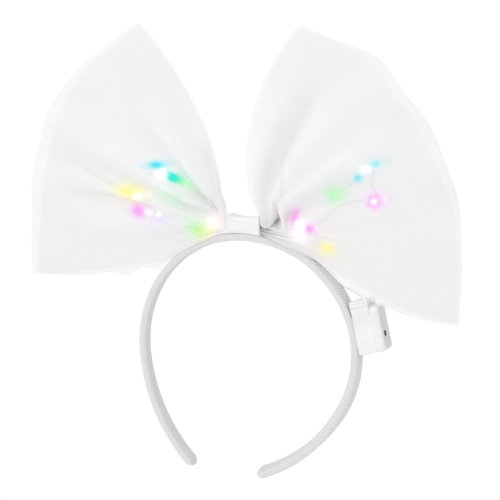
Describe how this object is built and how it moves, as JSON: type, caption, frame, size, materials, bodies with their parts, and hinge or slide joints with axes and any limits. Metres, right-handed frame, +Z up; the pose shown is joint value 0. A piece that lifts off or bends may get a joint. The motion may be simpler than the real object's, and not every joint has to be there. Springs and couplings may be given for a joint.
{
  "type": "light-up bow headband",
  "caption": "Costume headband with a big sheer tulle bow, coloured lights between its panels, a satin knot and a battery box with a slide switch on the right arm.",
  "frame": {"origin": "middle of the band's inner face under the knot, where it rests on the crown of a head", "axes": "+X to the right seen from the front, -Y to the front, +Z up"},
  "size_m": [0.276, 0.0592, 0.2728],
  "materials": {
    "knit_cover": "ribbed knit",
    "satin_ribbon": "satin",
    "tulle": "sheer net",
    "light_wire": "lacquered",
    "white_plastic": "moulded",
    "black_plastic": "moulded",
    "lead_jacket": "extruded",
    "light_amber": "clear resin drop, lit",
    "light_lime": "clear resin drop, lit",
    "light_pink": "clear resin drop, lit",
    "light_rose": "clear resin drop, lit",
    "light_yellow": "clear resin drop, lit",
    "light_cyan": "clear resin drop, lit",
    "light_green": "clear resin drop, lit",
    "light_magenta": "clear resin drop, lit"
  },
  "bodies": {
    "band_and_bow": {"headband": "knit_cover", "knot_wrap": "satin_ribbon", "tulle_front": "tulle", "tulle_back": "tulle", "light_wire": "light_wire", "light_left_amber": "light_amber", "light_left_lime": "light_lime", "light_left_pink": "light_pink", "light_left_yellow": "light_yellow", "light_left_cyan": "light_cyan", "light_left_green": "light_green", "light_right_magenta": "light_magenta", "light_right_rose": "light_rose", "light_right_yellow": "light_yellow", "light_right_pink": "light_pink", "light_right_cyan": "light_cyan", "light_right_green": "light_green", "battery_case": "white_plastic", "battery_cover": "white_plastic", "lead_wire": "lead_jacket"},
    "switch": {"switch_slider": "black_plastic"}
  },
  "joints": [
    {"name": "switch_slide", "type": "slide", "parent": "band_and_bow", "child": "switch", "axis": [-0.2132, 0, 0.977], "range_m": [0, 0.0018]}
  ]
}
